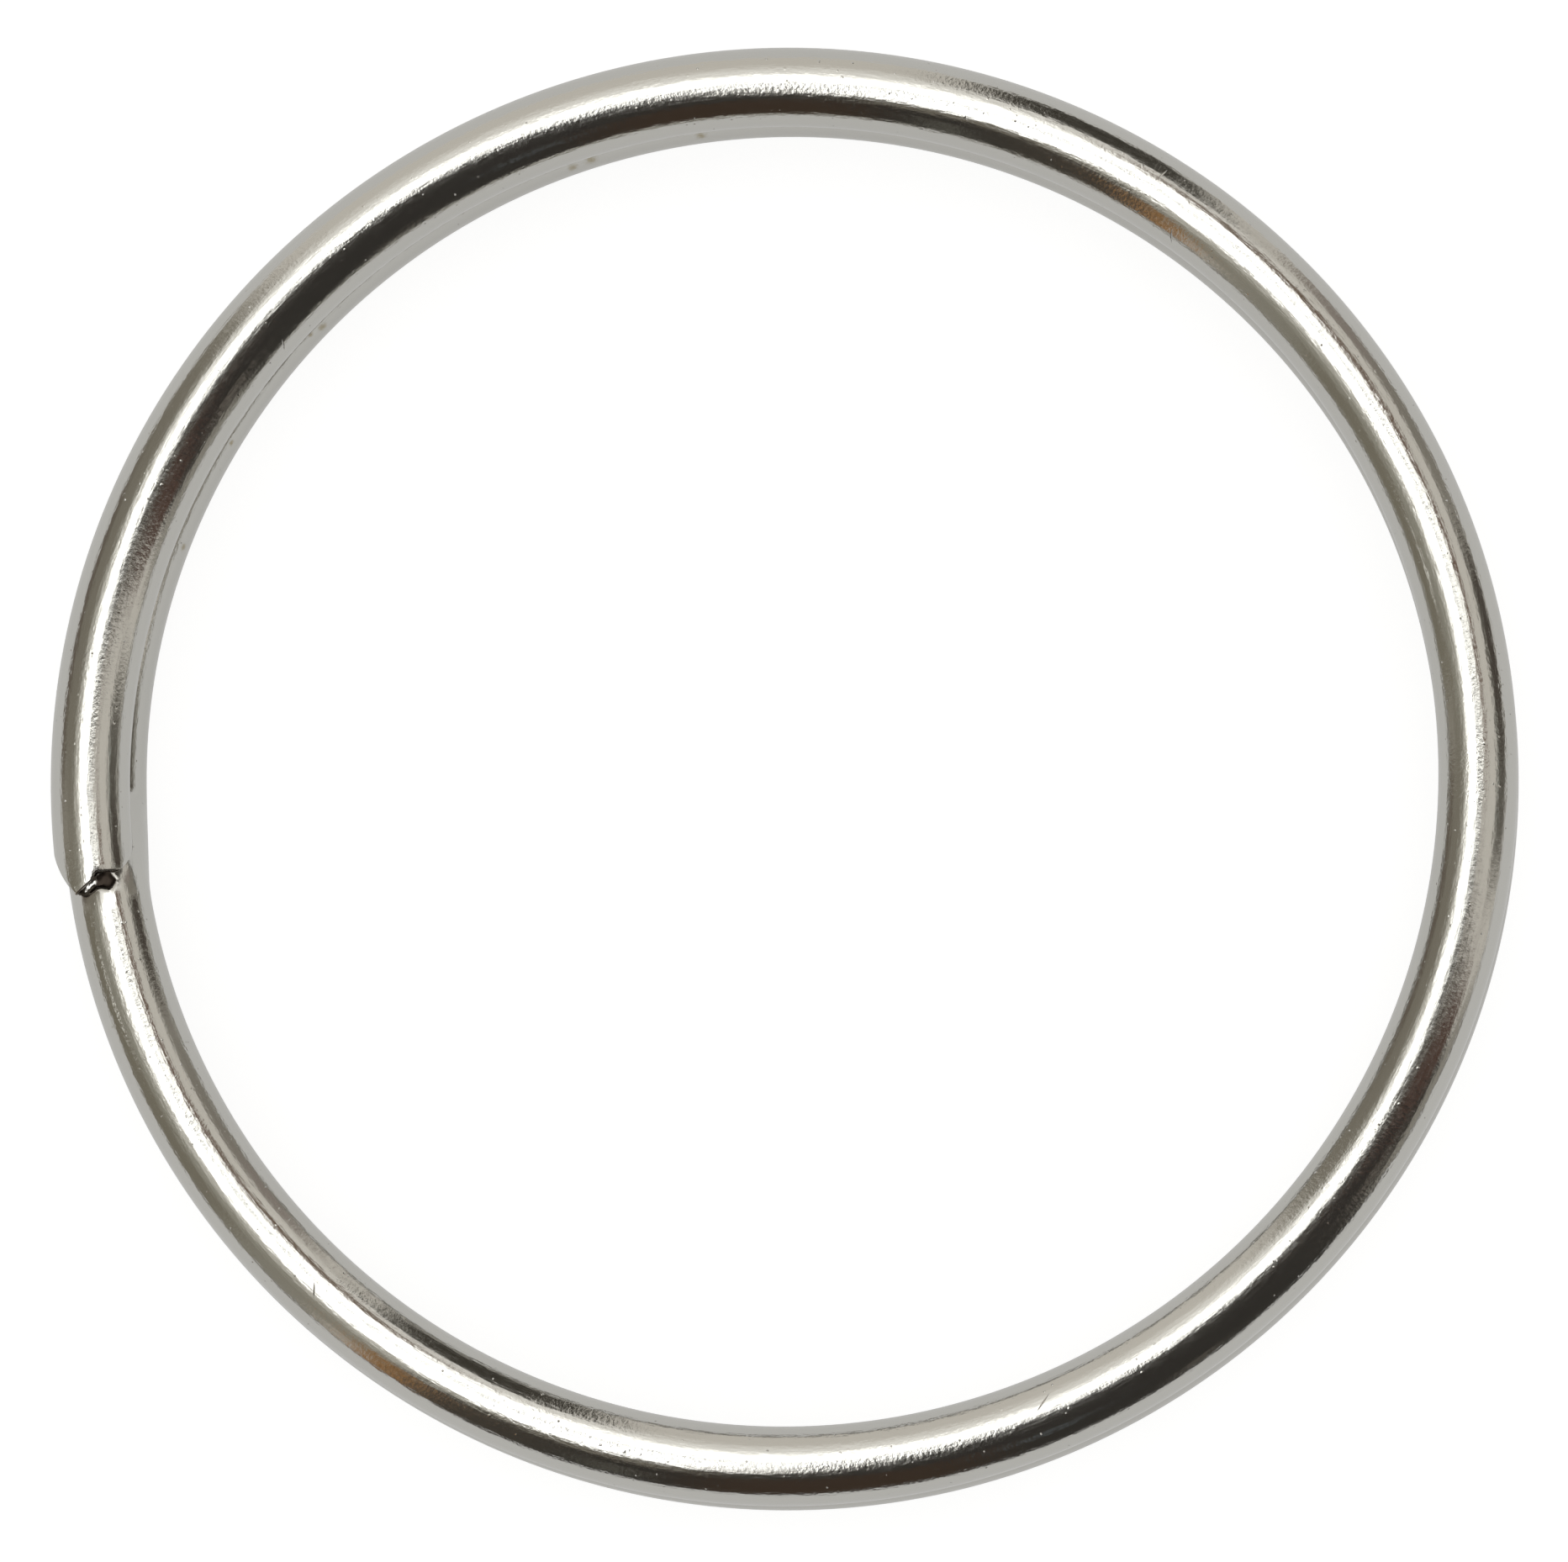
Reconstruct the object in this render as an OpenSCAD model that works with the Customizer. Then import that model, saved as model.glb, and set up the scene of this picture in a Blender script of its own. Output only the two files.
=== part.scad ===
// Split key ring: one length of round spring wire wound twice round and laid
// coil on coil, with one short crossing where it climbs from the lower coil to
// the upper one. Both wire ends lie at that crossing, one above it and one
// below it. Millimetres. The ring lies flat: Z is its axis, z = 0 is the table,
// and the crossing is on the -X side.

/* [Ring] */
// Diameter over the outside of the coils
outer_d = 35; // [22:0.5:50]
// Diameter of the round wire
wire_d = 1.9; // [1.5:0.05:2.4]
// Gap left between the two coils
coil_gap = 0.04; // [0.03:0.01:0.2]

/* [Crossing] */
// Slope of the straight part that climbs between the coils, in degrees
ramp_slope = 40; // [35:1:45]
// Radius of the inside of each bend
bend_inside = 0.3; // [0.15:0.05:0.6]
// How far both coils are drawn inward where they meet the crossing
nip = 0.15; // [0.02:0.01:0.25]
// Angle round the ring over which that inward draw fades out
nip_span = 75; // [55:1:95]

/* [Wire ends] */
// How far the upper wire end springs outward from its coil
flare = 0.12; // [0.05:0.01:0.3]
// Angle round the ring over which that spring outward builds up
flare_span = 110; // [80:1:130]
// How far each square cut passes the middle of the crossing
cut_past = 0.6; // [0.2:0.05:0.7]
// Length of the slanting tip that is left outside the square cut
tip_len = 0.45; // [0.3:0.01:0.7]
// How far the point of that tip lies from the middle of the wire
tip_out = 0.5; // [0.4:0.01:0.7]
// Radius of the rounded outer side of each end
shoulder_r = 2.5; // [1.5:0.1:5]

/* [Hidden] */
$fn = 144;
wire_color = [0.66, 0.65, 0.62];

wire_r = wire_d / 2;
coil_r = outer_d / 2 - wire_r;        // centre line of a coil
pitch = wire_d + coil_gap;            // one coil's centre line over the other's
bend_r = wire_r + bend_inside;        // centre line of a bend
groove_gap = coil_gap / 2;            // between the crossing and the ends cut round it
slim = wire_d / 190;                  // every second piece of the wire is drawn this much
lap = wire_d / 19;                    // slimmer, and runs this far into its neighbours

// The arc that starts a coil at the crossing: a slightly smaller circle that
// touches the coil's own circle after nip_span degrees.
nip_drop = nip / (1 - cos(nip_span));
start_r = coil_r - nip_drop;
start_to = 180 + nip_span;
start_x = nip_drop * cos(start_to);
start_y = nip_drop * sin(start_to);

// Turn of a bend, for a coil that begins off degrees past the -X axis.
function turn(off) = acos(cos(ramp_slope) * cos(off));
// Where the coil begins, in degrees past the -X axis, found by a few repeats.
function begin_off(off, n) = n == 0 ? off : begin_off(
    asin((start_y + pitch / 2 / tan(ramp_slope)
          + bend_r * tan(turn(off) / 2) * cos(off)) / start_r), n - 1);
off = begin_off(5, 12);
bend = turn(off);
reach = bend_r * tan(bend / 2);                        // from a bend's end to its corner
half_straight = pitch / 2 / sin(ramp_slope) - reach;
mid_x = start_r * cos(off) - start_x + reach * sin(off);
up_dir = [0, -cos(ramp_slope), sin(ramp_slope)];       // along the straight part
flat_dir = [sin(off), -cos(off), 0];                   // along the coil where it begins

function cross3(a, b) = [a[1]*b[2] - a[2]*b[1], a[2]*b[0] - a[0]*b[2], a[0]*b[1] - a[1]*b[0]];
function unit(v) = v / norm(v);

// A piece of round wire bent to a circle about a vertical axis.
module arc(r, radius, from, to) {
    rotate([0, 0, from]) rotate_extrude(angle = to - from) translate([radius, 0]) circle(r = r);
}

// The straight part of the crossing.
module straight(r) {
    translate([-mid_x, 0, 0]) rotate([90 - ramp_slope, 0, 0])
        cylinder(r = r, h = 2 * half_straight, center = true);
}

// The upper bend of the crossing. It turns from up_dir to flat_dir.
module upper_bend(r) {
    start = [-mid_x, 0, 0] + half_straight * up_dir;
    out = unit(flat_dir - cos(bend) * up_dir);         // from the wire to the bend's centre
    axis = cross3(up_dir, out);
    centre = start + bend_r * out;
    more = lap / bend_r * 180 / PI;
    multmatrix([[-out[0], up_dir[0], axis[0], centre[0]],
                [-out[1], up_dir[1], axis[1], centre[1]],
                [-out[2], up_dir[2], axis[2], centre[2]],
                [0, 0, 0, 1]])
        arc(r, bend_r, -more, bend + more);
}

// The whole crossing. The lower bend is the upper one turned over.
module crossing(r) {
    straight(r);
    upper_bend(r - slim);
    rotate([180, 0, 0]) upper_bend(r - slim);
}

// What is cut off a wire end, in plan. x points outward, y on along the wire.
module end_plan() {
    step = 0.3 * tip_len;                              // where the slant starts, past the cut
    side_x = wire_r + 2 * slim;                        // just outside the wire
    back = sqrt(pow(shoulder_r, 2) - pow(shoulder_r - (side_x - tip_out), 2));
    side_y = tip_len - back;
    far = 3 * wire_d;
    difference() {
        translate([-wire_d, side_y]) square([2 * wire_d, far]);
        intersection() {
            polygon([[-far, side_y - 1], [-far, 0], [0, 0], [0, step],
                     [far, step + (tip_len - step) / tip_out * far], [far, side_y - 1]]);
            translate([side_x - shoulder_r, side_y]) circle(r = shoulder_r);
        }
    }
}

// One coil, from the crossing round to its wire end.
module coil(out_by) {
    end_at = 540 + cut_past / coil_r * 180 / PI;
    flare_at = end_at - flare_span;
    grow = out_by / (1 - cos(flare_span));
    tip_more = 1.5 * tip_len / coil_r * 180 / PI;
    more = lap / coil_r * 180 / PI;
    translate([start_x, start_y, pitch / 2]) arc(wire_r, start_r, 180 + off, start_to);
    translate([0, 0, pitch / 2]) arc(wire_r - slim, coil_r, start_to - more, flare_at + more);
    difference() {
        translate([-grow * cos(flare_at), -grow * sin(flare_at), pitch / 2])
            arc(wire_r, coil_r + grow, flare_at, end_at + tip_more);
        translate([-grow * cos(flare_at), -grow * sin(flare_at), 0])
            rotate([0, 0, end_at]) translate([coil_r + grow, 0, -wire_d])
                linear_extrude(height = 3 * wire_d) end_plan();
        crossing(wire_r + groove_gap);
    }
}

module split_ring() {
    color(wire_color) translate([0, 0, pitch / 2 + wire_r]) {
        coil(flare);
        rotate([180, 0, 0]) coil(0);
        crossing(wire_r);
    }
}

split_ring();
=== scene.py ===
import math

import bpy
import numpy as np
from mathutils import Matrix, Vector


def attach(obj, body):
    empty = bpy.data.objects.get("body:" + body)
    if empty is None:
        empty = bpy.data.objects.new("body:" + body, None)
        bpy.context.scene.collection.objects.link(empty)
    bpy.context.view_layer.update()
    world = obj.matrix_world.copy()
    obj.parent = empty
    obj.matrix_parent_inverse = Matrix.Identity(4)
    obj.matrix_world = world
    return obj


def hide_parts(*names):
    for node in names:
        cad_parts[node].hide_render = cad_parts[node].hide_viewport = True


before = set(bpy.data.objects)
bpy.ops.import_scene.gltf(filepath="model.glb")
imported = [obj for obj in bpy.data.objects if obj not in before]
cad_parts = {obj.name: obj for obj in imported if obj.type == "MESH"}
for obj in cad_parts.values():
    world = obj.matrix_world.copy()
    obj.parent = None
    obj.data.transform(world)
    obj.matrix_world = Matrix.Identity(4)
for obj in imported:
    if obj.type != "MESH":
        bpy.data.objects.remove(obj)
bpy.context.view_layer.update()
scene = bpy.context.scene
scene.view_settings.view_transform = "Standard"

mm = 0.001
tiny = 0.0001


def degreesOf(length, radius):
    return math.degrees(length / radius)


camera = {
    "distance": 443.2,      # mm from the ring's middle to the lens
    "tilt": 5.85,           # degrees from straight down
    "azimuth": -68.1,       # side the lens leans to, degrees from +X
    "fieldWidth": 37.56,    # mm across the view at the ring
    "turn": 5.8,            # degrees, the ring turned in the view
    "aside": (-0.078, -0.067),  # mm, rightward and upward, from the ring's middle to the view's
}


def makeCamera():
    lean = math.radians(camera["tilt"])
    side = math.radians(camera["azimuth"])
    back = Vector((math.sin(lean) * math.cos(side), math.sin(lean) * math.sin(side), math.cos(lean)))
    turn = math.radians(90 - camera["turn"])
    upHint = Vector((math.cos(turn), math.sin(turn), 0))
    right = upHint.cross(back).normalized()
    up = back.cross(right).normalized()
    data = bpy.data.cameras.new("camera")
    data.sensor_width = 36
    data.lens = data.sensor_width * camera["distance"] / camera["fieldWidth"]
    data.clip_start = 0.01
    data.clip_end = 50
    holder = bpy.data.objects.new("camera", data)
    scene.collection.objects.link(holder)
    middle = Vector((0, 0, wire["height"] / 2 * mm))
    aim = middle + right * camera["aside"][0] * mm + up * camera["aside"][1] * mm
    spot = aim + back * camera["distance"] * mm
    matrix = holder.matrix_world.copy()
    for row in range(3):
        matrix[row][0] = right[row]
        matrix[row][1] = up[row]
        matrix[row][2] = back[row]
        matrix[row][3] = spot[row]
    holder.matrix_world = matrix
    scene.camera = holder


wire = {
    "outside": 35.0,        # mm, over the coils
    "thick": 1.9,           # diameter of the wire
    "gap": 0.04,            # between the coils
    "slope": 40.0,          # degrees, straight part of the crossing
    "bendInside": 0.3,      # inside radius of both bends
    "nip": 0.15,            # coils drawn inward at the crossing
    "nipSpan": 75.0,
    "flare": 0.12,          # upper end sprung outward
    "flareSpan": 110.0,
    "cutPast": 0.6,         # square cut beyond the middle of the crossing
    "tipLength": 0.45,
    "tipStep": 0.3,         # share of the tip's length that the cut steps at once
    "tipOut": 0.5,          # outward from the centre line, where the shoulder starts
    "shoulder": 2.5,        # radius of the rounded outer side
    "edge": 0.05,           # rounding of the cut edges
    "rimShine": 0.6,        # share of the rounding that keeps the bright plating
    "sides": 96,            # faces round the wire
    "step": 0.35,           # mm between rings of faces on the coils
    "fineStep": 0.06,       # mm between them at the ends
    "crossStep": 0.035,     # mm between them at the crossing
    "endRun": 5.0,          # mm of wire behind each end whose faces lean to the cut
    "nearRings": 12,        # rings of each coil counted with the crossing
    "rimRings": 5,
    "capRings": 26,
    "searchSteps": 150,
    "cutSoftness": 0.04,    # rounding of the inner corner of the cut
    "sideSpare": 0.02,      # shoulder's reach past the wire
    "sharpAngle": 38,
}
wire["height"] = 2 * wire["thick"] + wire["gap"]

# Hollow in the top of the crossing beside the upper end, in mm outward and forward from its place.
notch = {
    "radius": 16.40,
    "at": 183.1,            # degrees round the ring
    "top": 3.585,           # height of its floor
    "tilt": (-0.068, 0.055),
    "pit": ((0.02, -0.01), (0.17, 0.15)),           # oval: middle, half sizes
    "sliver": ((0.41, 0.09), (0.21, 0.075), 33),    # oblong: middle, half sizes, turn
    "uneven": ((0.13, 3, 0.6), (0.08, 5, -1.1)),    # the oval's edge: amount, waves round it, start
    "sideSlope": 1.7,
    "pitShade": 1.15,           # painted shade, covering the pit fully where 1 or more
    "pitShadeReach": 0.10,      # and thins out over this much beyond it
    "span": 3.0,            # of the wire either side of the middle of the crossing
}


# The ring's centre line as circles that touch and one straight part. One half turned over the X
# axis gives the other.
def wireSizes():
    s = dict(wire)
    s["radius"] = s["thick"] / 2
    s["coil"] = s["outside"] / 2 - s["radius"]
    s["pitch"] = s["thick"] + s["gap"]
    s["bend"] = s["radius"] + s["bendInside"]
    drop = s["nip"] / (1 - math.cos(math.radians(s["nipSpan"])))
    s["startRadius"] = s["coil"] - drop
    s["startTo"] = 180 + s["nipSpan"]
    startTo = math.radians(s["startTo"])
    s["startMiddle"] = (drop * math.cos(startTo), drop * math.sin(startTo))
    slope = math.radians(s["slope"])
    # off is where the bend meets the first coil; it settles in a few rounds
    off = math.radians(5)
    for _ in range(12):
        turn = math.acos(math.cos(slope) * math.cos(off))
        across = s["pitch"] / 2 / math.tan(slope) + s["bend"] * math.tan(turn / 2) * math.cos(off)
        off = math.asin((s["startMiddle"][1] + across) / s["startRadius"])
    s["off"] = math.degrees(off)
    s["turn"] = math.acos(math.cos(slope) * math.cos(off))
    reach = s["bend"] * math.tan(s["turn"] / 2)
    s["halfStraight"] = s["pitch"] / 2 / math.sin(slope) - reach
    s["middleX"] = s["startRadius"] * math.cos(off) - s["startMiddle"][0] + reach * math.sin(off)
    s["upward"] = np.array([0, -math.cos(slope), math.sin(slope)])
    s["level"] = np.array([math.sin(off), -math.cos(off), 0])
    return s


def steps(length, size):
    return np.linspace(0, 1, max(2, int(math.ceil(length / size)) + 1))


# Points on a level circle: middle plus radius times (cosine, sine) of the angle.
def flatArc(middle, radius, start, end, height, size):
    angle = np.radians(start + (end - start) * steps(math.radians(end - start) * radius, size))
    x = middle[0] + radius * np.cos(angle)
    y = middle[1] + radius * np.sin(angle)
    return np.stack([x, y, np.full_like(x, height)], 1)


# Centre line from the middle of the crossing to a wire end, and the place of the end's cut.
def halfPath(s, flare):
    start = np.array([-s["middleX"], 0, 0])
    share = steps(s["halfStraight"], s["crossStep"])[:, None]
    straight = start + share * s["halfStraight"] * s["upward"]
    out = s["level"] - math.cos(s["turn"]) * s["upward"]
    out /= np.linalg.norm(out)
    bendMiddle = straight[-1] + s["bend"] * out
    angle = s["turn"] * steps(s["turn"] * s["bend"], s["crossStep"])[:, None]
    bend = bendMiddle - s["bend"] * out * np.cos(angle) + s["bend"] * s["upward"] * np.sin(angle)
    height = s["pitch"] / 2
    first = flatArc(s["startMiddle"], s["startRadius"], 180 + s["off"], s["startTo"], height, s["step"])
    endAt = 540 + degreesOf(s["cutPast"], s["coil"])
    flareAt = endAt - s["flareSpan"]
    grow = flare / (1 - math.cos(math.radians(s["flareSpan"])))
    flareMiddle = (-grow * math.cos(math.radians(flareAt)), -grow * math.sin(math.radians(flareAt)))
    farRadius = s["coil"] + grow
    main = flatArc((0, 0), s["coil"], s["startTo"], flareAt, height, s["step"])
    tipTo = endAt + degreesOf(1.5 * s["tipLength"], s["coil"])
    fineFrom = endAt - degreesOf(s["endRun"], s["coil"])
    third = flatArc(flareMiddle, farRadius, flareAt, fineFrom, height, s["step"])
    last = flatArc(flareMiddle, farRadius, fineFrom, tipTo, height, s["fineStep"])
    points = np.concatenate([straight, bend[1:], first[1:], main[1:], third[1:], last[1:]])
    theta = math.radians(endAt)
    outward = np.array([math.cos(theta), math.sin(theta), 0])
    # the wire about the crossing, which the end keeps clear of
    half = np.concatenate([straight, bend[1:], first[1:s["nearRings"]]])
    cut = {
        "spot": np.array([flareMiddle[0], flareMiddle[1], height]) + farRadius * outward,
        "outward": outward,
        "along": np.array([-math.sin(theta), math.cos(theta), 0]),
        "crossing": np.concatenate([turnOver(half)[::-1], half[1:]]),
        "keepRings": len(points) - len(last) + 1,
    }
    return points, cut


# Turns points half round about the X axis.
def turnOver(points):
    return points * [1, -1, -1]


# How far points lie inside the kept end: the least distance to the cut across the wire, to the
# rounded outer side and to the crossing. Negative where the wire is cut away.
def keepDepth(points, cut, s):
    rel = points - cut["spot"]
    u = rel @ cut["outward"]
    y = rel @ cut["along"]
    step = s["tipStep"] * s["tipLength"]
    slant = (s["tipLength"] - step) / s["tipOut"]
    blend = np.clip(u / s["cutSoftness"] + 0.5, 0, 1)
    line = blend * (step + slant * np.maximum(u, 0))
    sideX = s["radius"] + s["sideSpare"]
    back = math.sqrt(s["shoulder"] ** 2 - (s["shoulder"] - (sideX - s["tipOut"])) ** 2)
    sideY = s["tipLength"] - back
    reach = np.hypot(u - (sideX - s["shoulder"]), np.maximum(y - sideY, 0))
    inside = np.where(u > 0, s["shoulder"] - reach + tiny, np.inf)
    depth = np.minimum(line - y, inside)
    # nearest point of the crossing, some thousands of places at a time
    flat = points.reshape(-1, 3)
    nearest = np.empty(len(flat))
    for part in np.array_split(np.arange(len(flat)), 1 + len(flat) // 4000):
        gap = np.linalg.norm(flat[part, None, :] - cut["crossing"][None, :, :], axis=2)
        nearest[part] = gap.min(axis=1)
    clear = nearest.reshape(points.shape[:-1]) - (s["radius"] + s["gap"] / 2)
    return np.minimum(depth, clear)


# Outward side and upper side at each point of the centre line.
def sweepSides(points):
    tangent = np.gradient(points, axis=0)
    tangent /= np.linalg.norm(tangent, axis=1)[:, None]
    side = np.cross(tangent, [0, 0, 1])
    side /= np.linalg.norm(side, axis=1)[:, None]
    return side, np.cross(side, tangent)


# Points off the centre line at the given distances along it. path holds the distance, the centre
# line and its outward and upper sides.
def offPath(path, at, across, up):
    length, *tables = path
    base, side, upper = (np.stack([np.interp(at, length, table[:, axis]) for axis in range(3)], -1)
                         for table in tables)
    return base + across[..., None] * side + up[..., None] * upper


# Where each line of the wire stops: the first distance along it at which keepDepth falls to
# nothing, less the rounding of the rim.
def wireEnd(path, begin, cut, s, angles):
    e, r, n = s["edge"], s["radius"], s["capRings"]
    corner = np.radians(np.linspace(0, 90, s["rimRings"]))
    rho = np.concatenate([r - e * (1 - np.cos(corner)), np.linspace(r - e, 0, n)[1:]])
    inset = np.concatenate([e * (1 - np.sin(corner)), np.zeros(n - 1)])
    across = rho[:, None] * np.cos(angles)[None, :]
    up = rho[:, None] * np.sin(angles)[None, :]
    marks = np.linspace(begin, path[0][-1], s["searchSteps"])
    depth = keepDepth(offPath(path, marks[:, None, None], across, up), cut, s)
    gone = depth < 0
    gone[-1] = True
    k = np.maximum(np.argmax(gone, axis=0), 1)
    rows, cols = np.indices(k.shape)
    before, after = depth[k - 1, rows, cols], depth[k, rows, cols]
    share = np.clip(before / np.maximum(before - after, tiny), 0, 1)
    stop = marks[k - 1] + share * (marks[k] - marks[k - 1]) - inset[:, None]
    return stop, offPath(path, stop, across, up), rho


# Side rings and end cap of one half of the wire, from the middle of the crossing to its end.
def halfWire(s, flare, angles):
    points, cut = halfPath(s, flare)
    length = np.concatenate([[0], np.cumsum(np.linalg.norm(np.diff(points, axis=0), axis=1))])
    path = (length, points, *sweepSides(points))
    begin = length[cut["keepRings"] - 1]
    stop, cap, rho = wireEnd(path, begin, cut, s, angles)
    grid = np.repeat(length[:cut["keepRings"], None], len(angles), axis=1)
    share = np.linspace(0, 1, int(s["endRun"] / (2 * s["fineStep"])))[1:, None]
    grid = np.concatenate([grid, begin + share * (stop[0][None, :] - begin)])
    rings = offPath(path, grid, s["radius"] * np.cos(angles), s["radius"] * np.sin(angles))
    return rings, grid, cap, stop, rho


# Distance in mm outside a turned oblong on the plan, 0 inside it.
def boxAway(u, v, middle, half, turn):
    cosine, sine = math.cos(math.radians(turn)), math.sin(math.radians(turn))
    u, v = u - middle[0], v - middle[1]
    a, b = u * cosine + v * sine, v * cosine - u * sine
    return np.hypot(np.maximum(np.abs(a) - half[0], 0), np.maximum(np.abs(b) - half[1], 0))


# Distance in mm outside an uneven oval on the plan, 0 inside it.
def ovalAway(u, v, middle, half):
    a, b = (u - middle[0]) / half[0], (v - middle[1]) / half[1]
    angle = np.arctan2(b, a)
    edge = 1 + sum(amount * np.sin(waves * angle + start) for amount, waves, start in notch["uneven"])
    return np.maximum(np.hypot(a, b) - edge, 0) * min(half)


# Sinks the top of the crossing to a sloping floor in an oval and an oblong, with sloping sides.
# Gives back the points and how much painted shade darkens each, 1 in the deep part.
def pressNotch(points, along, height):
    at = math.radians(notch["at"])
    outward = np.array([math.cos(at), math.sin(at)])
    forward = np.array([-math.sin(at), math.cos(at)])
    flat = points[:, :2] - notch["radius"] * outward
    u, v = flat @ outward, flat @ forward
    pit = ovalAway(u, v, *notch["pit"])
    sliver = boxAway(u, v, *notch["sliver"])
    near = (np.abs(along) < notch["span"]) & (points[:, 2] > 0)
    top = points[:, 2] + height / 2
    floorTop = notch["top"] + notch["tilt"][0] * u + notch["tilt"][1] * v
    floorTop += notch["sideSlope"] * np.minimum(pit, sliver)
    sunk = near & (floorTop < top)
    result = points.copy()
    result[sunk, 2] = floorTop[sunk] - height / 2
    return result, np.where(near, np.clip(notch["pitShade"] - pit / notch["pitShadeReach"], 0, 1), 0)


# Faces between rings of points, given the first point of each ring.
def ringFaces(starts, sides):
    ring, j = np.meshgrid(np.arange(len(starts) - 1), np.arange(sides), indexing="ij")
    k = (j + 1) % sides
    near, far = starts[ring], starts[ring + 1]
    return np.stack([near + j, far + j, far + k, near + k], -1).reshape(-1, 4)


def buildWire():
    s = wireSizes()
    sides = s["sides"]
    angles = np.linspace(0, 2 * np.pi, sides, endpoint=False)
    upRings, upLength, upCap, upStop, rho = halfWire(s, s["flare"], angles)
    lowRings, lowLength, lowCap, lowStop, rho = halfWire(s, 0.0, angles)
    # turned over the X axis, an angle measured from outward to up becomes its own negative
    mirrored = (-np.arange(sides)) % sides
    lowRings = turnOver(lowRings)[:, mirrored]
    lowCap = turnOver(lowCap)[:, mirrored]
    side = np.concatenate([lowRings[:0:-1], upRings])
    along = np.concatenate([-lowLength[:, mirrored][:0:-1], upLength])
    rows = len(side)
    verts = [side.reshape(-1, 3)]
    # for each point: distance along the wire, angle round it, distance from its middle
    away = [along.reshape(-1)]
    turned = [np.tile(angles, rows)]
    reach = [np.full(along.size, s["radius"])]
    cutFace = [np.zeros(along.size)]
    faces = [ringFaces(sides * np.arange(rows), sides)]
    fans = []
    inRings = len(rho) - 2
    flatPart = rho[1:-1] < s["radius"] - s["rimShine"] * s["edge"]
    for cap, stop, rim, turn in ((upCap, upStop, (rows - 1) * sides, 1),
                                 (lowCap, -lowStop[:, mirrored], 0, -1)):
        base = sum(len(v) for v in verts)
        verts += [cap[1:-1].reshape(-1, 3), cap[-1:, 0]]
        away += [stop[1:-1].reshape(-1), stop[-1:, 0]]
        turned += [np.tile(angles, inRings), angles[:1]]
        reach += [np.repeat(rho[1:-1], sides), rho[-1:]]
        cutFace += [np.repeat(flatPart, sides).astype(float), np.ones(1)]
        starts = np.concatenate([[rim], base + sides * np.arange(inRings)])
        faces.append(np.roll(ringFaces(starts, sides), -1, axis=1)[:, ::turn])
        tip = np.full(sides, base + sides * inRings)
        last = starts[-1] + np.arange(sides)
        fans.append(np.stack([tip, np.roll(last, -1), last], -1)[:, ::turn])
    # pressNotch also gives each point's painted shade, dark in the notch's pit, kept as a point attribute
    verts, pitShade = pressNotch(np.concatenate(verts), np.concatenate(away), s["height"])
    verts = verts + [0, 0, s["height"] / 2]
    mesh = bpy.data.meshes.new("wire")
    allFaces = np.concatenate(faces).tolist() + np.concatenate(fans).tolist()
    mesh.from_pydata((verts * mm).tolist(), [], allFaces)
    mesh.polygons.foreach_set("use_smooth", np.ones(len(mesh.polygons), dtype=bool))
    mesh.set_sharp_from_angle(angle=math.radians(s["sharpAngle"]))
    # the wire rolled out straight, in mm: distance along it, and the place in its round section
    away, turned, reach = np.concatenate(away), np.concatenate(turned), np.concatenate(reach)
    straight = np.stack([away, reach * np.cos(turned), reach * np.sin(turned)], 1)
    for name, kind, key, values in (("alongWire", "FLOAT_VECTOR", "vector", straight.reshape(-1)),
                                    ("cutFace", "FLOAT", "value", np.concatenate(cutFace)),
                                    ("pitShade", "FLOAT", "value", pitShade)):
        attribute = mesh.attributes.new(name, kind, "POINT")
        attribute.data.foreach_set(key, values.astype(np.float32))
    obj = bpy.data.objects.new("wire", mesh)
    scene.collection.objects.link(obj)
    mesh.validate()
    print("wire:", len(mesh.vertices), "points,", len(mesh.polygons), "faces")
    return obj


def mathNode(tree, operation, first, second=None, third=None, clamp=False):
    made = tree.nodes.new("ShaderNodeMath")
    made.operation = operation
    made.use_clamp = clamp
    for slot, value in enumerate((first, second, third)):
        if value is None:
            continue
        if isinstance(value, (int, float)):
            made.inputs[slot].default_value = value
        else:
            tree.links.new(value, made.inputs[slot])
    return made.outputs[0]


def plus(tree, first, second):
    return mathNode(tree, "ADD", first, second)


def minus(tree, first, second, clamp=False):
    return mathNode(tree, "SUBTRACT", first, second, clamp=clamp)


def times(tree, first, second):
    return mathNode(tree, "MULTIPLY", first, second)


# First times second, plus third.
def timesPlus(tree, first, second, third):
    return mathNode(tree, "MULTIPLY_ADD", first, second, third)


def inDegrees(tree, radians):
    return times(tree, radians, 180 / math.pi)


# 0 at low and 1 at high, or the other way where low is the larger.
def easedStep(tree, value, low, high):
    made = tree.nodes.new("ShaderNodeMapRange")
    made.interpolation_type = "SMOOTHSTEP"
    tree.links.new(value, made.inputs["Value"])
    made.inputs["From Min"].default_value = low
    made.inputs["From Max"].default_value = high
    return made.outputs["Result"]


def node(tree, kind, **settings):
    made = tree.nodes.new(kind)
    for key, value in settings.items():
        setattr(made, key, value)
    return made


def link(tree, source, made, slot):
    tree.links.new(source, made.inputs[slot])


def splitVector(tree, vector):
    made = node(tree, "ShaderNodeSeparateXYZ")
    link(tree, vector, made, 0)
    return made.outputs


def mixColor(tree, share, first, second, label=""):
    made = node(tree, "ShaderNodeMix", data_type="RGBA", label=label)
    link(tree, share, made, 0)
    if isinstance(first, tuple):
        made.inputs[6].default_value = first
    else:
        link(tree, first, made, 6)
    made.inputs[7].default_value = second
    return made.outputs[2]


def attributeOf(tree, name, output="Fac"):
    return node(tree, "ShaderNodeAttribute", attribute_name=name).outputs[output]


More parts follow.
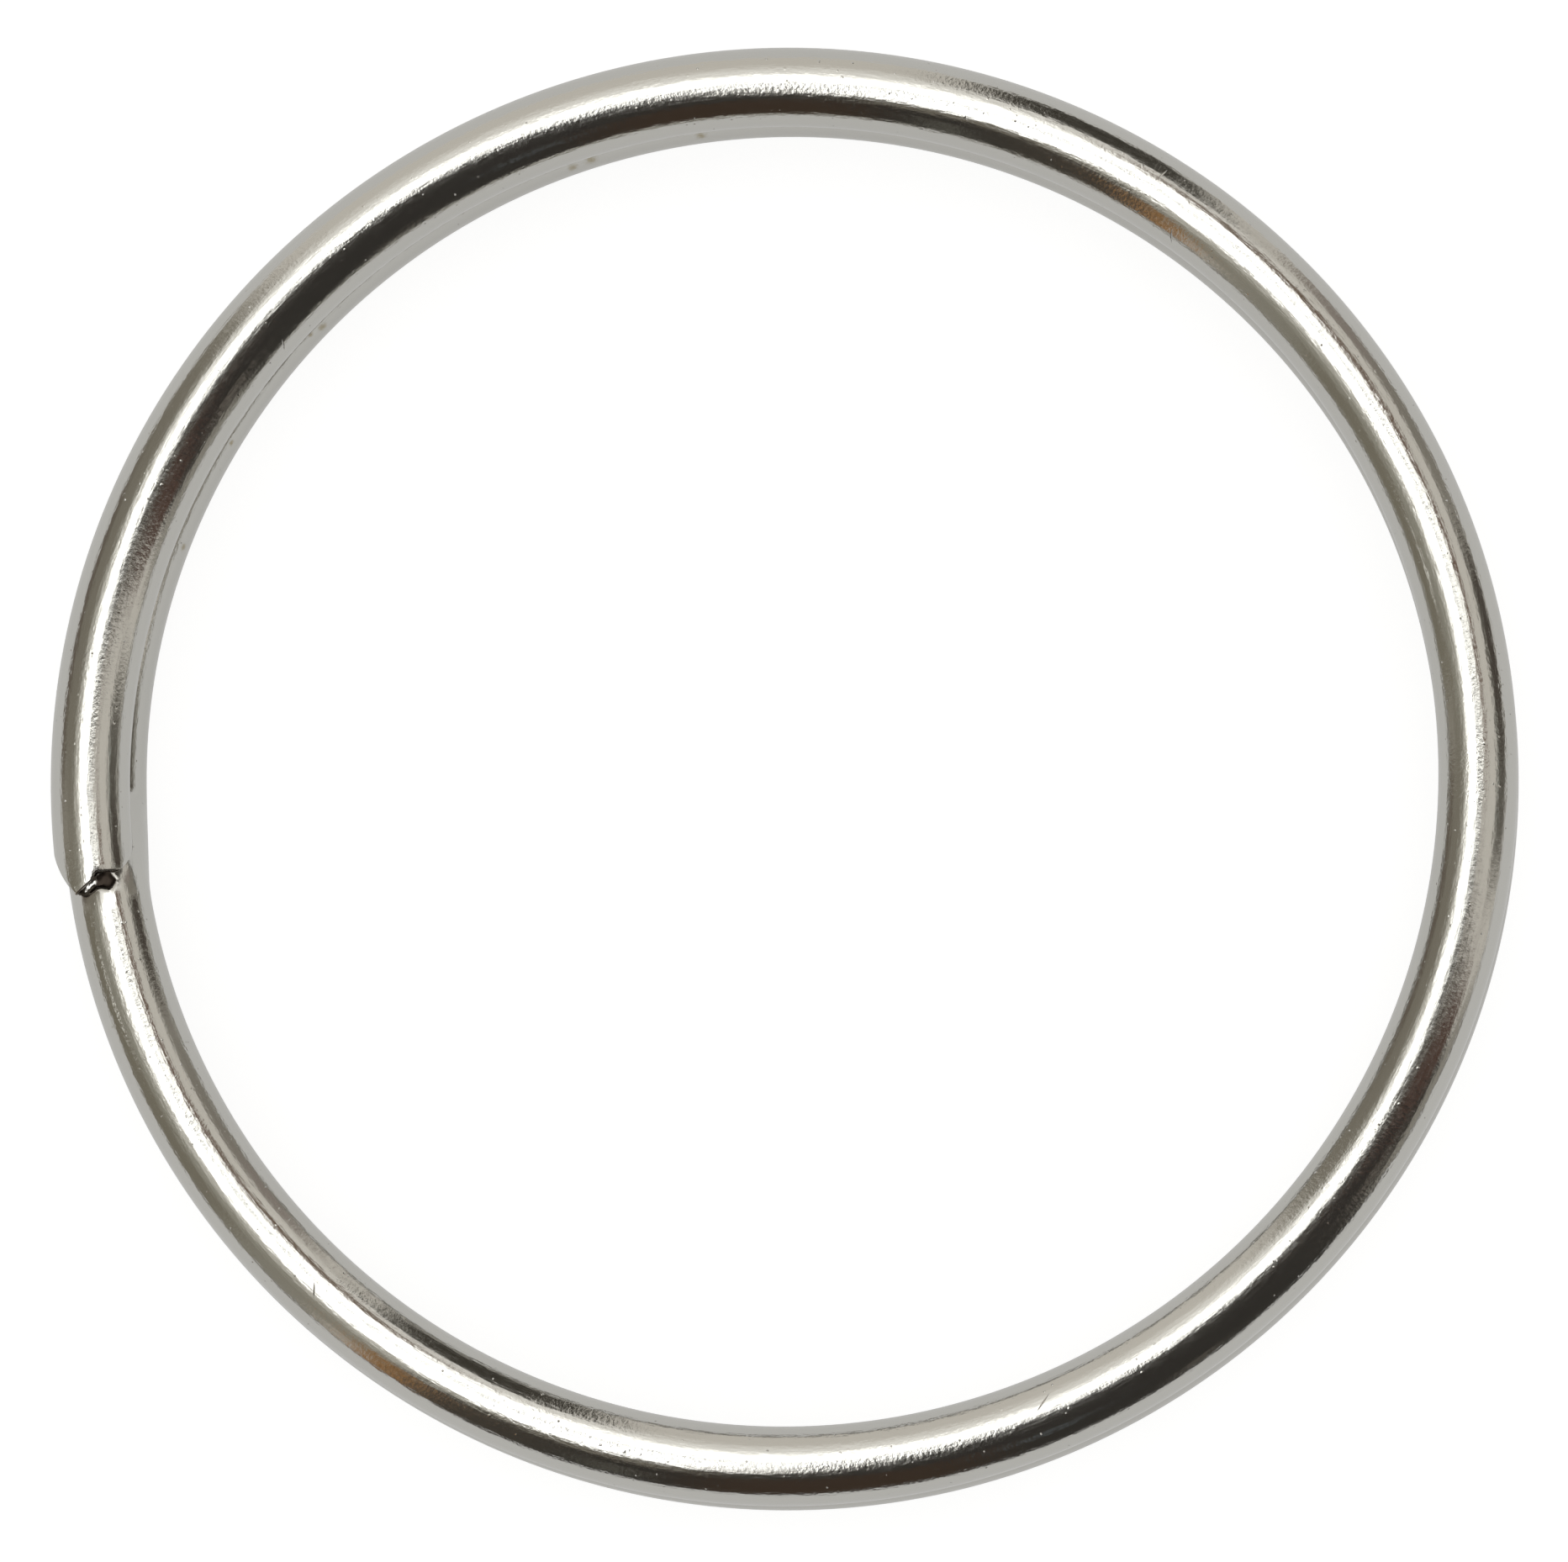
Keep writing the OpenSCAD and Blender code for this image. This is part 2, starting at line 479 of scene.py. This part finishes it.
# The rolled-out place scaled along the wire and across it.
def stretched(tree, vector, along, across):
    scale = node(tree, "ShaderNodeVectorMath", operation="MULTIPLY")
    link(tree, vector, scale, 0)
    scale.inputs[1].default_value = (along, across, across)
    return scale.outputs[0]


def noiseOf(tree, vector, scale=1.0, detail=2.0, rough=0.5):
    made = node(tree, "ShaderNodeTexNoise")
    link(tree, vector, made, "Vector")
    made.inputs["Scale"].default_value = scale
    made.inputs["Detail"].default_value = detail
    made.inputs["Roughness"].default_value = rough
    return made.outputs["Fac"]


# Distance from the middle of the nearest cell, and three random values of that cell.
def cellsOf(tree, vector, scale):
    made = node(tree, "ShaderNodeTexVoronoi", feature="F1")
    link(tree, vector, made, "Vector")
    made.inputs["Scale"].default_value = scale
    return made.outputs["Distance"], splitVector(tree, made.outputs["Color"])


# A cone, 1 in the middle of a cell and 0 at its edge.
def coneOf(tree, distance, edge):
    return minus(tree, 1, mathNode(tree, "DIVIDE", distance, edge), clamp=True)


nickel = {
    "color": (0.63, 0.62, 0.585, 1),
    "cutColor": (0.30, 0.27, 0.235, 1),     # sheared ends, thinly plated
    "stainColor": (0.42, 0.375, 0.275, 1),
    # dark brown painted into the notch's pit as painted shade
    "pitShadeColor": (0.055, 0.043, 0.035, 1),
    "rough": (0.12, 0.19),      # clean and hazy patches
    "hazy": (0.3, 0.75),        # noise values between which a patch grows hazy
    "cutRough": 0.34,
    "pitShadeRough": 0.35,          # added to the metal's
    "scratchRough": 0.15,       # added to the metal's
    # heights in m, scales in cells per mm, sizes in cells
    "peel": 0.0000046,          # orange peel of the plating
    "peelScale": 10.5,
    "peelPatch": (0.35, 0.68),
    "peelShare": (0.5, 0.7),    # of the height everywhere, and more in patches
    "speck": 0.0000058,         # single pimples
    "speckScale": 5.2,
    "speckPick": (0.45, 1.0),
    "speckSize": 0.24,
    "speckTall": (0.3, 0.8),
    "pin": 0.0000180,           # sharp pinpricks
    "pinScale": 4.3,
    "pinPick": (0.66, 0.96),
    "pinSize": 0.12,
    "dash": 0.0000040,          # short dashes along the wire
    "lines": 0.0000011,         # die lines along the wire
    "wave": 0.0000045,          # slow waviness
    "scratch": -0.0000090,
    "scratchWidth": (0.022, -0.02),     # mm either side in the middle, and less toward the ends
    "shear": 0.0000120,         # torn face of the cut ends
    "pitShading": (0.55, 1.0),       # noise and the pit's mask between which the painted shade shows
    "pitShadingShare": (0.7, 0.9),   # of the noise and of the pit's mask
    "stainScale": 0.8,
    "stainPick": (0.52, 0.70),
    "stainSize": (0.20, 0.11),
    "stainLow": (0.35, -0.1),   # mm above the wire's middle, where scattered stains set in
    "stainShare": (0.10, 0.85),     # everywhere, and more in the low part
    "placedSize": (1.9, 0.6),   # radii out to which a placed stain fades, with its uneven edge
    "placedUneven": 1.4,
}

# Short scratches: place along the wire and round it, in mm and degrees from outward, slant, half length.
scratches = [
    (90.8, 142.0, 62, 0.17),
    (67.2, 66.0, 78, 0.16),
    (66.2, 140.0, -66, 0.20),
    (31.0, 105.0, 35, 0.25),
    (12.4, 80.0, -50, 0.20),
]

# Small brown stains on the lower coil: place along the wire in mm, round it in degrees, radius in mm.
stains = [
    (-22.35, 152.0, 0.16),
    (-22.85, 149.0, 0.19),
    (-25.7, 151.0, 0.17),
    (-14.75, 150.0, 0.16),
    (-14.4, 143.0, 0.09),
    (-11.0, 147.0, 0.10),
    (-8.1, 153.0, 0.12),
]


def newGroup(name, inputs):
    group = bpy.data.node_groups.new(name, "ShaderNodeTree")
    for socket in inputs:
        group.interface.new_socket(socket, in_out="INPUT", socket_type="NodeSocketFloat")
    group.interface.new_socket("Mask", in_out="OUTPUT", socket_type="NodeSocketFloat")
    return group, group.nodes.new("NodeGroupInput").outputs


# How far in mm a place lies from a mark's middle, along the wire and round it.
def fromMark(group, given):
    x = minus(group, given["Along"], given["Middle"])
    turned = mathNode(group, "WRAP", minus(group, given["Angle"], given["At Angle"]), 180, -180)
    return x, times(group, turned, math.pi / 180 * wire["thick"] / 2)


# One short scratch: 1 on its line, falling to 0 within its width.
def scratchGroup():
    group, given = newGroup("scratch", ("Along", "Angle", "Middle", "At Angle", "Slant", "Half Length"))
    x, y = fromMark(group, given)
    slant = mathNode(group, "RADIANS", given["Slant"])
    cosine, sine = mathNode(group, "COSINE", slant), mathNode(group, "SINE", slant)
    onward = plus(group, times(group, x, cosine), times(group, y, sine))
    aside = minus(group, times(group, y, cosine), times(group, x, sine))
    share = mathNode(group, "DIVIDE", mathNode(group, "ABSOLUTE", onward), given["Half Length"])
    widest, taper = nickel["scratchWidth"]
    narrow = timesPlus(group, mathNode(group, "POWER", share, 2), taper, widest)
    mask = coneOf(group, mathNode(group, "ABSOLUTE", aside), narrow)
    result = group.nodes.new("NodeGroupOutput")
    link(group, times(group, mask, mathNode(group, "LESS_THAN", share, 1)), result, "Mask")
    return group


# One small stain with an uneven edge: 1 inside, 0 outside.
def stainGroup():
    group, given = newGroup("stain", ("Along", "Angle", "Uneven", "Middle", "At Angle", "Radius"))
    x, y = fromMark(group, given)
    away = mathNode(group, "SQRT", plus(group, times(group, x, x), times(group, y, y)))
    share = plus(group, mathNode(group, "DIVIDE", away, given["Radius"]), given["Uneven"])
    result = group.nodes.new("NodeGroupOutput")
    link(group, easedStep(group, share, *nickel["placedSize"]), result, "Mask")
    return group


# The largest mask of several marks, each a row of values for the group's own inputs.
def marksOf(tree, group, shared, names, rows):
    most = None
    for row in rows:
        one = node(tree, "ShaderNodeGroup", node_tree=group)
        for name, source in shared.items():
            link(tree, source, one, name)
        for name, value in zip(names, row):
            one.inputs[name].default_value = value
        most = one.outputs["Mask"] if most is None else mathNode(tree, "MAXIMUM", most, one.outputs["Mask"])
    return most


# The surface's small heights in m, added up for a single bump.
def nickelHeight(tree, rolled, scratched, cut):
    peel = noiseOf(tree, rolled, scale=nickel["peelScale"], rough=0.55)
    patch = easedStep(tree, noiseOf(tree, rolled, scale=0.45, detail=1.0), *nickel["peelPatch"])
    base, more = (share * nickel["peel"] for share in nickel["peelShare"])
    height = times(tree, peel, timesPlus(tree, patch, more, base))
    distance, chosen = cellsOf(tree, rolled, nickel["speckScale"])
    size = times(tree, easedStep(tree, chosen["X"], *nickel["speckPick"]), nickel["speckSize"])
    speck = coneOf(tree, distance, plus(tree, size, 0.001))
    speck = times(tree, speck, easedStep(tree, chosen["Y"], *nickel["speckTall"]))
    distance, chosen = cellsOf(tree, rolled, nickel["pinScale"])
    pin = coneOf(tree, distance, nickel["pinSize"])
    pin = times(tree, pin, easedStep(tree, chosen["X"], *nickel["pinPick"]))
    dash = noiseOf(tree, stretched(tree, rolled, along=2.4, across=13.0), detail=1.0)
    lines = noiseOf(tree, stretched(tree, rolled, along=0.12, across=15.0), rough=0.6)
    wave = noiseOf(tree, stretched(tree, rolled, along=0.35, across=0.8), detail=1.0)
    shear = times(tree, noiseOf(tree, rolled, scale=14.0, detail=3.0, rough=0.6), cut)
    parts = {"speck": speck, "pin": pin, "dash": dash, "lines": lines, "wave": wave,
             "scratch": scratched, "shear": shear}
    for name, part in parts.items():
        height = timesPlus(tree, part, nickel[name], height)
    return height


# Tiny brown stains scattered mostly where the coils meet and dirt stays, and the placed ones.
def nickelStain(tree, rolled, upper, shared):
    distance, chosen = cellsOf(tree, rolled, nickel["stainScale"])
    edge = timesPlus(tree, noiseOf(tree, rolled, scale=16.0, detail=3.0, rough=0.7), 0.10, distance)
    stain = times(tree, easedStep(tree, edge, *nickel["stainSize"]),
                  easedStep(tree, chosen["Z"], *nickel["stainPick"]))
    base, more = nickel["stainShare"]
    stain = times(tree, stain, timesPlus(tree, easedStep(tree, upper, *nickel["stainLow"]), more, base))
    uneven = noiseOf(tree, rolled, scale=12.0, detail=3.0, rough=0.7)
    shared = {**shared, "Uneven": times(tree, uneven, nickel["placedUneven"])}
    placed = marksOf(tree, stainGroup(), shared, ("Middle", "At Angle", "Radius"), stains)
    return mathNode(tree, "MAXIMUM", stain, placed)


def makeNickel():
    material = bpy.data.materials.new("brightNickel")
    material.use_nodes = True
    tree = material.node_tree
    shader = tree.nodes["Principled BSDF"]
    shader.inputs["Metallic"].default_value = 1
    rolled = attributeOf(tree, "alongWire", "Vector")
    cut = attributeOf(tree, "cutFace")
    along, outer, upper = splitVector(tree, rolled)
    angle = inDegrees(tree, mathNode(tree, "ARCTAN2", upper, outer))
    shared = {"Along": along, "Angle": angle}
    names = ("Middle", "At Angle", "Slant", "Half Length")
    scratched = marksOf(tree, scratchGroup(), shared, names, scratches)

    bump = node(tree, "ShaderNodeBump")
    bump.inputs["Strength"].default_value = 1
    bump.inputs["Distance"].default_value = 1
    link(tree, nickelHeight(tree, rolled, scratched, cut), bump, "Height")
    link(tree, bump.outputs["Normal"], shader, "Normal")

    patch = noiseOf(tree, stretched(tree, rolled, along=1.0, across=5.0), scale=3.0, detail=4.0, rough=0.65)
    clean, hazy = nickel["rough"]
    haze = timesPlus(tree, easedStep(tree, patch, *nickel["hazy"]), hazy - clean, clean)
    haze = timesPlus(tree, scratched, nickel["scratchRough"], haze)
    haze = timesPlus(tree, cut, nickel["cutRough"] - clean, haze)
    # painted shade in the notch's pit, also rougher, with its edge broken up by noise
    noise = noiseOf(tree, rolled, scale=11.0, detail=3.0, rough=0.65)
    ofNoise, ofPitShade = nickel["pitShadingShare"]
    pitShading = timesPlus(tree, noise, ofNoise, times(tree, attributeOf(tree, "pitShade"), ofPitShade))
    pitShading = easedStep(tree, pitShading, *nickel["pitShading"])
    haze = timesPlus(tree, pitShading, nickel["pitShadeRough"], haze)
    link(tree, haze, shader, "Roughness")

    stain = nickelStain(tree, rolled, upper, shared)
    color = mixColor(tree, stain, nickel["color"], nickel["stainColor"])
    color = mixColor(tree, cut, color, nickel["cutColor"])
    # painted shade: the notch's pit darkened to brown
    color = mixColor(tree, pitShading, color, nickel["pitShadeColor"])
    link(tree, color, shader, "Base Color")
    return material


studio = {
    "wall": (0.72, 0.69, 0.635),
    "turn": -5.8,           # degrees, the studio against the ring's own frame
    "evenLight": 0.74,      # strength of the plain world, which is 1 for the camera
    "floorColor": (0.36, 0.357, 0.345, 1),
    "floorToCamera": 0.82,  # strength of its glow
    "floorToMetal": 0.42,
    "floorHalf": 3.0,       # m
    "floorEnd": (282, 0.035, 0.085),    # side in degrees, and m from and to which it darkens in the metal
    "floorDark": (0.06, 0.055, 0.05, 1),
}

# Each: name, color, middle and half width of its azimuth, polar angle from and to, softness of edges.
studioShapes = [
    ("ceilingFade", (1.02, 1.0, 0.955), 105, 52, -9, 52, 24, 26),
    ("leftWall", (0.35, 0.335, 0.285), 184, 47, 38, 66, 14, 12),
    ("ceilingEdge", (1.25, 1.23, 1.18), 125, 75, -9, 34, 22, 12),
    ("ceilingLeft", (0.62, 0.60, 0.54), 190, 40, 24, 40, 14, 6),
    ("panel", (2.4, 2.4, 2.38), 157, 99, -9, 26.5, 6, 5),
    ("panelCorner", (2.0, 2.0, 1.95), 105, 30, -9, 31, 16, 14),
    ("panelLeft", (2.0, 2.0, 1.95), 172, 22, 20, 30, 12, 6),
    ("panelGap", (0.55, 0.53, 0.47), 232, 9, 26, 40, 8, 6),
    ("panelRight", (1.9, 1.9, 1.85), 44, 20, 8, 19, 12, 6),
    ("warmShade", (0.12, 0.054, 0.03), 34, 18, 22, 31, 10, 6),
    ("warmCorner", (0.14, 0.085, 0.052), 56, 14, 27, 39, 10, 8),
    ("flag", (0.042, 0.039, 0.035), 290, 52, 27, 96, 6, 7),
    ("flagOverhead", (0.042, 0.039, 0.035), 307, 44, -20, 44, 8, 6),
    ("flagZenith", (0.045, 0.042, 0.037), -34, 76, -20, 9, 20, 5),
    ("flagZenithThin", (0.06, 0.055, 0.048), 78, 46, -20, 6, 20, 5),
    ("flagRight", (0.075, 0.066, 0.055), 355, 26, -20, 15, 20, 8),
    ("flagShade", (0.21, 0.19, 0.155), 246, 11, 29, 42, 6, 8),
    ("flagLeftLow", (0.066, 0.058, 0.048), 239, 8, 38, 96, 8, 8),
    ("flagBrown", (0.060, 0.042, 0.030), 272, 13, 42, 96, 8, 8),
    ("flagRed", (0.095, 0.055, 0.042), 342, 6, 16, 64, 5, 10),
    ("flagEdge", (0.085, 0.072, 0.06), 351, 6.5, 8, 29, 6, 8),
    ("flagEnd", (0.33, 0.31, 0.275), 337, 10, 75, 98, 8, 8),
    ("flagSlit", (0.34, 0.30, 0.26), 328.5, 1.1, 52, 70, 1.2, 6),
    ("flagSlitTwo", (0.17, 0.165, 0.14), 252, 1.3, 58, 86, 1.8, 6),
    ("flagSlitThree", (0.13, 0.15, 0.16), 291, 1.6, 48, 59, 2, 4),
    ("flagSlitFour", (0.2, 0.18, 0.155), 306, 1.0, 74, 88, 1.4, 4),
    ("amberEdge", (0.34, 0.165, 0.045), 230, 2.6, 48, 93, 3.4, 8),
    ("leftFurniture", (0.245, 0.225, 0.185), 157, 21, 46, 94, 9, 8),
    ("leftBase", (0.16, 0.135, 0.11), 163, 12, 76, 92, 8, 6),
    ("leftLow", (0.235, 0.215, 0.17), 200, 22, 56, 93, 10, 10),
    ("leftMiddle", (0.31, 0.295, 0.25), 219, 6, 56, 93, 5, 8),
    ("leftGap", (0.30, 0.285, 0.24), 188, 2.5, 50, 60, 4, 6),
    ("leftLamp", (1.7, 1.7, 1.62), 191, 2.0, 61, 65, 1.4, 2.5),
    ("rightDark", (0.135, 0.125, 0.107), 11, 15, 56, 88, 8, 8),
    ("rightBase", (0.075, 0.062, 0.052), 16, 8, 66, 84, 7, 6),
    ("rightMiddle", (0.27, 0.25, 0.215), 38, 12, 60, 93, 8, 10),
    ("rightGlint", (0.50, 0.52, 0.48), 6, 2.0, 57, 63, 3, 4),
    ("backDark", (0.05, 0.045, 0.036), 68.5, 10, 48, 88, 4, 7),
    ("backMottled", (0.30, 0.26, 0.235), 45, 4, 63, 87, 3.5, 7),
]


# 1 for rays from the camera, and 1 for rays that the metal sends on.
def raysOf(tree):
    path = tree.nodes.new("ShaderNodeLightPath").outputs
    toMetal = mathNode(tree, "MAXIMUM", path["Is Glossy Ray"], path["Is Transmission Ray"])
    return path["Is Camera Ray"], toMetal


# The room as a color by direction: a wall, with soft-edged patches laid over it in turn.
def roomColor(tree):
    x, y, z = splitVector(tree, tree.nodes.new("ShaderNodeTexCoord").outputs["Generated"])
    polar = inDegrees(tree, mathNode(tree, "ARCCOSINE", z))
    azimuth = inDegrees(tree, mathNode(tree, "ARCTAN2", y, x))
    color = (*studio["wall"], 1)
    for name, shade, middle, half, low, high, softAcross, softUp in studioShapes:
        offset = minus(tree, azimuth, middle + studio["turn"])
        away = mathNode(tree, "ABSOLUTE", mathNode(tree, "WRAP", offset, 180, -180))
        across = easedStep(tree, away, half + softAcross / 2, half - softAcross / 2)
        above = easedStep(tree, polar, low - softUp / 2, low + softUp / 2)
        below = easedStep(tree, polar, high + softUp / 2, high - softUp / 2)
        mask = times(tree, times(tree, across, above), below)
        color = mixColor(tree, mask, color, (*shade, 1), name)
    return color


# The mirror wire sees the room, the matt floor its even light, the camera plain white.
def makeWorld():
    world = bpy.data.worlds.new("studio")
    world.use_nodes = True
    tree = world.node_tree
    tree.nodes.clear()
    room = node(tree, "ShaderNodeBackground")
    link(tree, roomColor(tree), room, "Color")
    plain = node(tree, "ShaderNodeBackground")
    plain.inputs["Color"].default_value = (1, 1, 1, 1)
    toCamera, toMetal = raysOf(tree)
    even = studio["evenLight"]
    link(tree, timesPlus(tree, toCamera, 1 - even, even), plain, "Strength")
    choose = node(tree, "ShaderNodeMixShader")
    for slot, source in enumerate((toMetal, plain.outputs[0], room.outputs[0])):
        link(tree, source, choose, slot)
    link(tree, choose.outputs[0], node(tree, "ShaderNodeOutputWorld"), "Surface")
    world.cycles.sampling_method = "NONE"
    scene.world = world


def makeFloor():
    half = studio["floorHalf"]
    corners = [(-half, -half, 0), (half, -half, 0), (half, half, 0), (-half, half, 0)]
    mesh = bpy.data.meshes.new("floor")
    mesh.from_pydata(corners, [], [(0, 1, 2, 3)])
    floor = bpy.data.objects.new("floor", mesh)
    scene.collection.objects.link(floor)
    material = bpy.data.materials.new("paleFloor")
    material.use_nodes = True
    tree = material.node_tree
    tree.nodes.clear()
    matt = node(tree, "ShaderNodeBsdfDiffuse")
    matt.inputs["Color"].default_value = studio["floorColor"]
    toCamera, toMetal = raysOf(tree)
    glow = node(tree, "ShaderNodeEmission")
    forCamera = times(tree, toCamera, studio["floorToCamera"])
    link(tree, timesPlus(tree, toMetal, studio["floorToMetal"], forCamera), glow, "Strength")
    both = node(tree, "ShaderNodeAddShader")
    link(tree, matt.outputs[0], both, 0)
    link(tree, glow.outputs[0], both, 1)
    # it darkens away from the ring on one side, which only the metal shows
    toward, near, far = studio["floorEnd"]
    toward = math.radians(toward + studio["turn"])
    reach = node(tree, "ShaderNodeVectorMath", operation="DOT_PRODUCT")
    link(tree, node(tree, "ShaderNodeTexCoord").outputs["Object"], reach, 0)
    reach.inputs[1].default_value = (math.cos(toward), math.sin(toward), 0)
    beyond = times(tree, easedStep(tree, reach.outputs["Value"], near, far), toMetal)
    dark = node(tree, "ShaderNodeEmission")
    dark.inputs["Color"].default_value = studio["floorDark"]
    shown = node(tree, "ShaderNodeMixShader")
    for slot, source in enumerate((beyond, both.outputs[0], dark.outputs[0])):
        link(tree, source, shown, slot)
    link(tree, shown.outputs[0], node(tree, "ShaderNodeOutputMaterial"), "Surface")
    mesh.materials.append(material)


makeCamera()
print("camera set")
ring = buildWire()
ring.data.materials.append(makeNickel())
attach(ring, "root")
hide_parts("split_ring")
makeWorld()
makeFloor()
print("studio lit")
